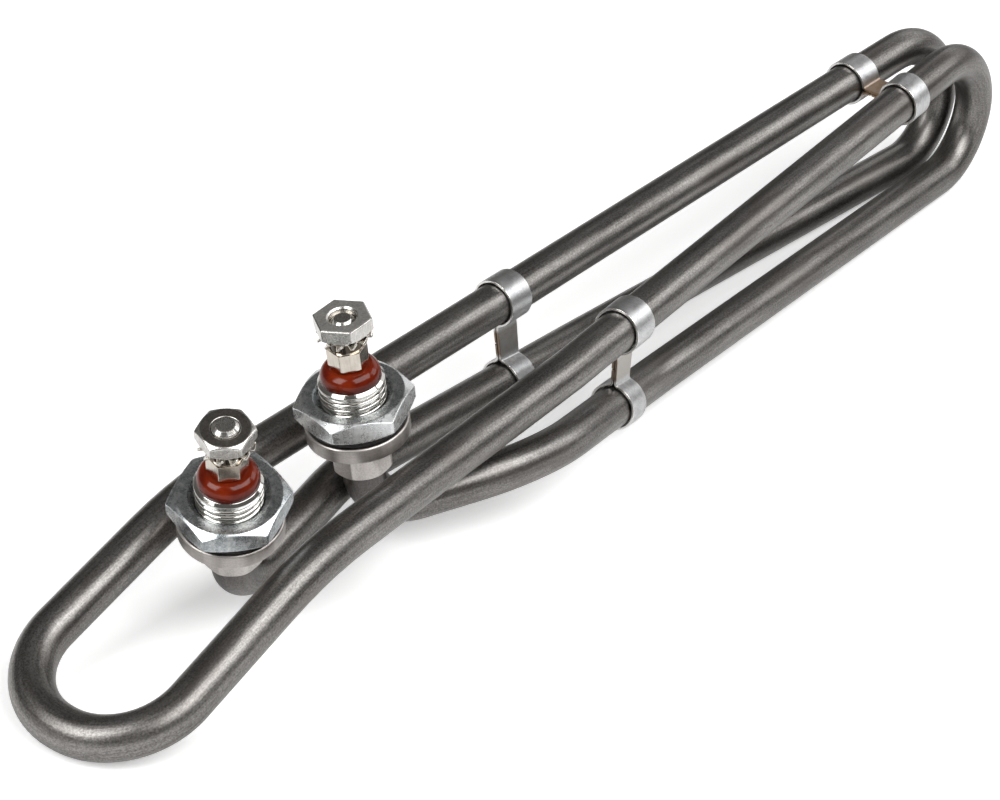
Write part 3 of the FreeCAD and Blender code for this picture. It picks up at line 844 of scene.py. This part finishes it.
def lock_washer(number, seat, axis):
    """A flat ring, and one tooth turned by equal steps.  The tooth is ruled from its root's section
    to its tip's: the share of the tip's is share, and its end shrinks as a quarter circle does."""
    angles = even_angles(ring_around)
    corners = outline(angles, (stud_r + part_gap, washer_mid - washer_t / 2),
                      (washer_body_r, washer_mid - washer_t / 2),
                      (washer_body_r, washer_mid + washer_t / 2),
                      (stud_r + part_gap, washer_mid + washer_t / 2))
    edges = [washer_bore_edge, washer_edge, washer_edge, washer_bore_edge]
    grids = [stood(softened(corners, edges), angles, seat, axis)]
    around = even_angles(tooth_around)
    root = twisted_section(washer_body_r - tooth_bite, tooth_root_twist, around)
    tip = twisted_section(washer_r, tooth_twist, around)
    bend = np.linspace(0.0, math.pi / 2, 7)
    share = np.concatenate([[0.0], np.linspace(0.0, 1 - tooth_round, tooth_rows),
                            1 - tooth_round + tooth_round * np.sin(bend[1:])])
    shrink = np.concatenate([[0.0], np.ones(tooth_rows), 0.3 + 0.7 * np.cos(bend[1:-1]), [0.0]])
    rows = root + (tip - root) * share[:, None, None]
    middles = rows.mean(1, keepdims=True)
    tooth = middles + (rows - middles) * shrink[:, None, None]
    turns = even_angles(tooth_count)[:, None, None]
    teeth = np.stack([tooth[..., 0] * np.cos(turns) - tooth[..., 1] * np.sin(turns),
                      tooth[..., 0] * np.sin(turns) + tooth[..., 1] * np.cos(turns),
                      tooth[..., 2] + washer_mid + 0 * turns], -1)
    grids += [(upright(own, seat, axis), own, False) for own in teeth]
    washer = skin("toothed_washer_%d" % number, grids, spring_skin)
    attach(washer, "root")
    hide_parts("lock_washer_%d" % number)


lock_washer(1, seat_1, axis_1)
lock_washer(2, seat_2, axis_2)


# Terminal nuts: a hexagon nut above each washer, which clamps the supply lead's eyelet.  Steel,
# drawn and ground along its flats, with a dull plated top and corners cut further back on nut 1.
top_h = washer_mid + tooth_reach + part_gap
top_t = 0.00275
# Each pair is nut 1's value and nut 2's.
top_turn = (13.2, 55.6)
top_flats = (0.0092, 0.0094)
top_mouth = (0.0002, 0.00035)
top_foot_r = (0.0046, 0.0047)
top_face_r = (0.00425, 0.00525)
top_edge = (0.00024, 0.00012)
top_bevel = 0.0003
top_plain = 0.0014
top_dull_from, top_dull_to = 0.00006, 0.00002
stud_pitch = 0.0008


def clamping_plate(name, top_dark, top_light, top_dull):
    """Plated nut with fine grinding lines along its height and a duller face on top."""
    plate = Finish(name)
    place = plate.own_place()
    cloud = plate.noise(place, 600.0, 4.0, 0.6)
    ground = plate.noise(plate.stretched(place, (1.0, 1.0, 0.05)), 4600.0, 3.0, 0.6)
    speck = plate.noise(place, 3400.0, 3.0, 0.6)
    on_top = plate.along("Z", place).between(top_h + top_t - top_dull_from,
                                             top_h + top_t - top_dull_to)
    tone = plate.ramp(0.4 * cloud + 0.35 * ground + 0.25 * speck,
                      [(0.34, (0.44, 0.425, 0.40)), (0.64, (0.84, 0.825, 0.795))])
    tone = plate.blend(tone, plate.ramp(speck, [(0.3, top_dark), (0.7, top_light)]), on_top)
    return plate.surface(
        Base_Color=tone, Metallic=1.0, Roughness=0.18 + 0.16 * cloud + top_dull * on_top,
        Normal=plate.bump(0.6 * ground + 0.4 * speck, 0.00003, 0.45))


brown_topped = clamping_plate("brown_topped_plate", (0.19, 0.175, 0.155), (0.36, 0.34, 0.315), 0.08)
grey_topped = clamping_plate("grey_topped_plate", (0.54, 0.53, 0.505), (0.86, 0.845, 0.82), 0.22)
for i, (seat, axis, plate) in enumerate(((seat_1, axis_1, brown_topped),
                                         (seat_2, axis_2, grey_topped))):
    clamping_nut = nut("clamping_nut_%d" % (i + 1), plate, seat, axis, top_turn[i], top_flats[i],
                       stud_r + part_gap, top_mouth[i], top_h, top_h + top_t, top_foot_r[i],
                       top_face_r[i], top_edge[i], stud_pitch, top_bevel, top_plain)
    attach(clamping_nut, "root")
    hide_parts("terminal_nut_%d" % (i + 1))


# Terminal studs: one steel rod each, a thin cold pin inside the tube and a thicker threaded stud
# above the bush.  The stud's end is turned to a bright cone round a dull sawn face.
pin_r = 0.0013
pin_reach = 0.038
rod_tip_edge = 0.00012
rod_step_edge = 0.0001
rod_step = 0.0005
sawn_gone, sawn_full = 0.00009, 0.00004

rod = Finish("stud_steel")
rod_at = rod.own_place()
rod_speck = rod.noise(rod_at, 5200.0, 3.0, 0.7)
rod_rings = rod.noise(rod.stretched(rod_at, (0.1, 0.1, 1.0)), 4200.0, 2.0)
rod_face = rod.along("Z", rod_at).between(sawn_gone, sawn_full)
rod_tone = rod.blend(
    rod.ramp(rod_rings, [(0.3, (0.70, 0.68, 0.64)), (0.7, (0.86, 0.845, 0.81))]),
    rod.ramp(rod_speck, [(0.40, (0.10, 0.095, 0.085)), (0.60, (0.64, 0.62, 0.59))]), rod_face)
rod_skin = rod.surface(
    Base_Color=rod_tone, Metallic=1.0, Roughness=0.16 + 0.10 * rod_rings + 0.19 * rod_face,
    Normal=rod.bump(rod_speck * rod_face + 0.2 * rod_rings, 0.00005, 0.6))


def terminal_stud(number, seat, axis, bends, rise, tip_r, tip):
    """Round bar carried down the stud's axis and on along the tube's own line.  Its radius follows
    a profile over the depth below its end, read off at even steps of the profile's own length."""
    top = top_h + top_t + rise
    thick = top - bush_top_h
    reach = top - tube_end_h + pin_reach
    corners = outline(np.zeros(1), (0.0, 0.0), (tip_r, 0.0), (stud_r, tip),
                      (stud_r, thick), (pin_r, thick), (pin_r, reach), (0.0, reach))
    edges = [0.0] + [rod_tip_edge] * 2 + [rod_step_edge] * 3 + [0.0]
    radius, depth = softened(corners, edges)[:, 0].T
    run = np.concatenate([[0.0], np.cumsum(np.hypot(np.diff(radius), np.diff(depth)))])
    even = np.unique(np.concatenate([run, np.arange(0.0, run[-1], rod_step)]))
    radius, depth = np.interp(even, run, radius), np.interp(even, run, depth)
    line = bent_line([(seat + axis * top, 0.0)] + bends, run_step=0.002)
    middles, sides, ways = (np.stack([np.interp(depth, line[3], part[:, k]) for k in range(3)], -1)
                            for part in line[:3])
    points, own = tube_section((middles, sides, ways, depth), radius)
    stud = skin("threaded_stud_%d" % number, [(points, own, False)], rod_skin)
    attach(stud, "root")
    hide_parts("terminal_stud_%d" % number)


terminal_stud(1, seat_1, axis_1, route[1:4], rise=0.00085, tip_r=0.0017, tip=0.0007)
terminal_stud(2, seat_2, axis_2, route[-2:-5:-1], rise=-0.00035, tip_r=0.00145, tip=0.00105)


# Spacer clips: a strip of stainless steel folded round two passes of the tube, its two layers spot
# welded together between them.  The welding's heat has browned the straps and their sheared edges.
clip_w = 0.0056
clip_t = 0.0005
clip_gap = 0.0003
clip_bend = 0.0009
clip_edge = 0.00009
clip_back_x = -0.0074
clip_front_x = -0.0002
clip_far_x = 0.1047
layer_slot = 0.0002
seam_w = 0.0003
weld_r = 0.0007
weld_around = 24
heat_fade = 0.0013
sheared_from, sheared_to = 0.00016, 0.00006
loop_r = tube_r + clip_gap + clip_t / 2
layer_y = layer_slot / 2 + clip_t / 2
strap_x = math.sqrt((loop_r + clip_bend) ** 2 - (layer_y + clip_bend) ** 2)
wrap = math.atan2(layer_y + clip_bend, strap_x)


def clip_steel(name, strap_colour, share, reach):
    """Satin stainless steel, tinted by the heat out to a reach from the strap's middle, from which
    own z is measured.  own x runs across the strip and own y along it."""
    strip = Finish(name)
    place = strip.own_place()
    cloud = strip.noise(place, 500.0, 4.0, 0.65)
    rolled = strip.noise(strip.stretched(place, (1.0, 0.12, 1.0)), 4200.0, 3.0, 0.6)
    tone = strip.ramp(0.5 * cloud + 0.5 * rolled, [(0.36, (0.50, 0.507, 0.52)),
                                                   (0.50, (0.66, 0.667, 0.675)),
                                                   (0.64, (0.80, 0.80, 0.80))])
    heated = strip.along("Z", place).between(reach, reach - heat_fade)
    edge = abs(strip.along("X", place)).between(clip_w / 2 - sheared_from,
                                                clip_w / 2 - sheared_to)
    tone = strip.blend(tone, strap_colour, heated * share * (0.55 + 0.9 * cloud))
    tone = strip.blend(tone, (0.92, 0.91, 0.89), edge * (1 - heated))
    tone = strip.blend(tone, (0.26, 0.16, 0.095), edge * heated * 0.7)
    return strip.surface(
        Base_Color=tone, Metallic=1.0,
        Roughness=(0.30 + 0.16 * cloud + 0.10 * heated) * (1 - 0.4 * edge),
        Normal=strip.bump(0.5 * rolled + 0.5 * cloud, 0.00003, 0.5))


def folded_line(span):
    """The middle of the folded sheet seen along the tubes, with its outward directions, from one
    end of the strip round both loops to the other end: straight layers at +-layer_y, arcs of the
    loop's radius round each tube and arcs of the bend's radius between.  The second half of the
    path is the first half mirrored about the middle of the strap."""
    a = np.linspace(1.5 * math.pi, math.pi + wrap, 9)[1:-1]
    b = np.linspace(wrap, 2 * math.pi - wrap, 73)
    bend_in = np.stack([strap_x + clip_bend * np.cos(a),
                        layer_y + clip_bend + clip_bend * np.sin(a), -np.cos(a), -np.sin(a)], -1)
    loop = np.stack([loop_r * np.cos(b), loop_r * np.sin(b), np.cos(b), np.sin(b)], -1)
    bend_out = bend_in[::-1] * (1, -1, 1, -1)
    half = np.concatenate([bend_in, loop, bend_out])
    x = np.linspace(strap_x, span / 2 - seam_w / 2, 9)[:, None]
    layer = x * (1, 0, 0, 0) + np.array((0, layer_y, 0, 1))
    x = np.linspace(strap_x, span - strap_x, 17)[:, None]
    back = x * (1, 0, 0, 0) + np.array((0, -layer_y, 0, -1))
    far_half = np.array((span, 0, 0, 0)) + half[::-1] * (-1, 1, -1, 1)
    far_layer = np.array((span, 0, 0, 0)) + layer * (-1, 1, 1, 1)
    path = np.concatenate([layer[::-1], half, back, far_half, far_layer])
    return path[:, :2], path[:, 2:]


def crossing(run, point, normal):
    """Where a straight run of the tube meets a plane."""
    start, stop = run
    way = stop - start
    return start + way * (((point - start) @ normal) / (way @ normal))


def spacer_clip(name, node, run_1, run_2, x, material):
    """Rounded strip section carried along the folded line.  The line is drawn round the tubes' own
    centres at each edge of the strip, and every point between is the share of its width between."""
    east = np.array((1.0, 0.0, 0.0))
    middle = (crossing(run_1, east * x, east) + crossing(run_2, east * x, east)) / 2
    way_1, way_2 = (run[1] - run[0] for run in (run_1, run_2))
    normal = way_1 / np.linalg.norm(way_1) + way_2 / np.linalg.norm(way_2)
    normal = normal / np.linalg.norm(normal)
    ends = []
    for edge in (-0.5, 0.5):
        plane = middle + normal * (clip_w * edge)
        c1, c2 = crossing(run_1, plane, normal), crossing(run_2, plane, normal)
        span = np.linalg.norm(c2 - c1)
        u = (c2 - c1) / span
        v = np.cross(normal, u)
        flat, out = folded_line(span)
        ends.append((c1 + flat[:, :1] * u + flat[:, 1:] * v, out[:, :1] * u + out[:, 1:] * v))
    (low, low_out), (high, high_out) = ends
    section = outline(np.zeros(1), (-clip_w / 2, -clip_t / 2), (clip_w / 2, -clip_t / 2),
                      (clip_w / 2, clip_t / 2), (-clip_w / 2, clip_t / 2))
    wide, thick = softened(section, clip_edge)[:, 0].T
    closing = [0.0, 0.9, 0.97]
    shrink = np.concatenate([closing, np.ones(len(low)), closing[::-1]])[:, None]
    low, low_out, high, high_out = (
        np.concatenate([part[:1]] * len(closing) + [part] + [part[-1:]] * len(closing))
        for part in (low, low_out, high, high_out))
    share = (0.5 + (wide / clip_w) * shrink)[..., None]
    points = (low[:, None] * (1 - share) + high[:, None] * share
              + (low_out[:, None] * (1 - share) + high_out[:, None] * share)
              * (thick * shrink)[..., None])
    steps = np.linalg.norm(np.diff((low + high) / 2, axis=0), axis=1)
    run = np.concatenate([[0.0], np.cumsum(steps)])
    strap_mid = (crossing(run_1, middle, normal) + crossing(run_2, middle, normal)) / 2
    from_middle = np.abs(((low + high) / 2 - strap_mid) @ u)
    own = np.stack(np.broadcast_arrays(wide[None, :], run[:, None], from_middle[:, None]), -1)
    grids = [(points, own, False)]
    angles = even_angles(weld_around)
    ring = np.cos(angles)[:, None] * u - np.sin(angles)[:, None] * normal
    for sign in (-1, 1):
        spot = strap_mid + u * (sign * (span / 2 - strap_x) / 2)
        rows = [(0.0, -layer_y), (weld_r, -layer_y), (weld_r, layer_y), (0.0, layer_y)]
        weld = np.stack([spot + ring * r + v * h for r, h in rows])
        grids.append((weld, np.zeros_like(weld), False))
    clip = skin(name, grids, material)
    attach(clip, "root")
    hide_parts(node)


run_a = (waist, far_top)
run_b = (waist * flip, far_top * flip)
run_c = (swerve_1, belly)
run_d = (swerve_2, belly * flip)
spacer_clip("folded_clip_back", "clip_back", run_a, run_c, clip_back_x,
            clip_steel("clip_steel_back", (0.27, 0.25, 0.23), share=0.8, reach=0.0034))
spacer_clip("folded_clip_front", "clip_front", run_b, run_d, clip_front_x,
            clip_steel("clip_steel_front", (0.52, 0.48, 0.43), share=0.7, reach=0.0034))
spacer_clip("folded_clip_far", "clip_far", run_a, run_b, clip_far_x,
            clip_steel("clip_steel_far", (0.44, 0.31, 0.21), share=0.9, reach=0.0027))


# Inside the tube: pale magnesia packed hard round the winding, which is a dark oxidised resistance
# wire, and a cream ceramic bush that closes each end round the stud.
magnesia_colours = [(0.35, (0.62, 0.60, 0.56)), (0.65, (0.82, 0.80, 0.76))]
winding_colours = [(0.35, (0.055, 0.058, 0.060)), (0.65, (0.170, 0.165, 0.155))]
ceramic_colours = [(0.35, (0.70, 0.66, 0.57)), (0.65, (0.80, 0.77, 0.69))]
magnesia_skin = grainy("packed_magnesia", (3000.0, 4.0, 0.7), magnesia_colours, 0.80, 0.15,
                       (0.00008, 0.6), place=Finish.object_place)
winding_skin = grainy("oxidised_winding", (2200.0, 4.0, 0.7), winding_colours, 0.45, 0.30,
                      (0.00006, 0.7), metallic=0.8, place=Finish.object_place)
ceramic_skin = grainy("cream_ceramic", (1500.0, 3.0), ceramic_colours, 0.35, 0.20,
                      (0.00004, 0.4), place=Finish.object_place)

for name, inner_skin in (("insulation_core", magnesia_skin), ("resistance_coil", winding_skin),
                         ("ceramic_bush_1", ceramic_skin), ("ceramic_bush_2", ceramic_skin)):
    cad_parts[name].data.materials.clear()
    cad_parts[name].data.materials.append(inner_skin)
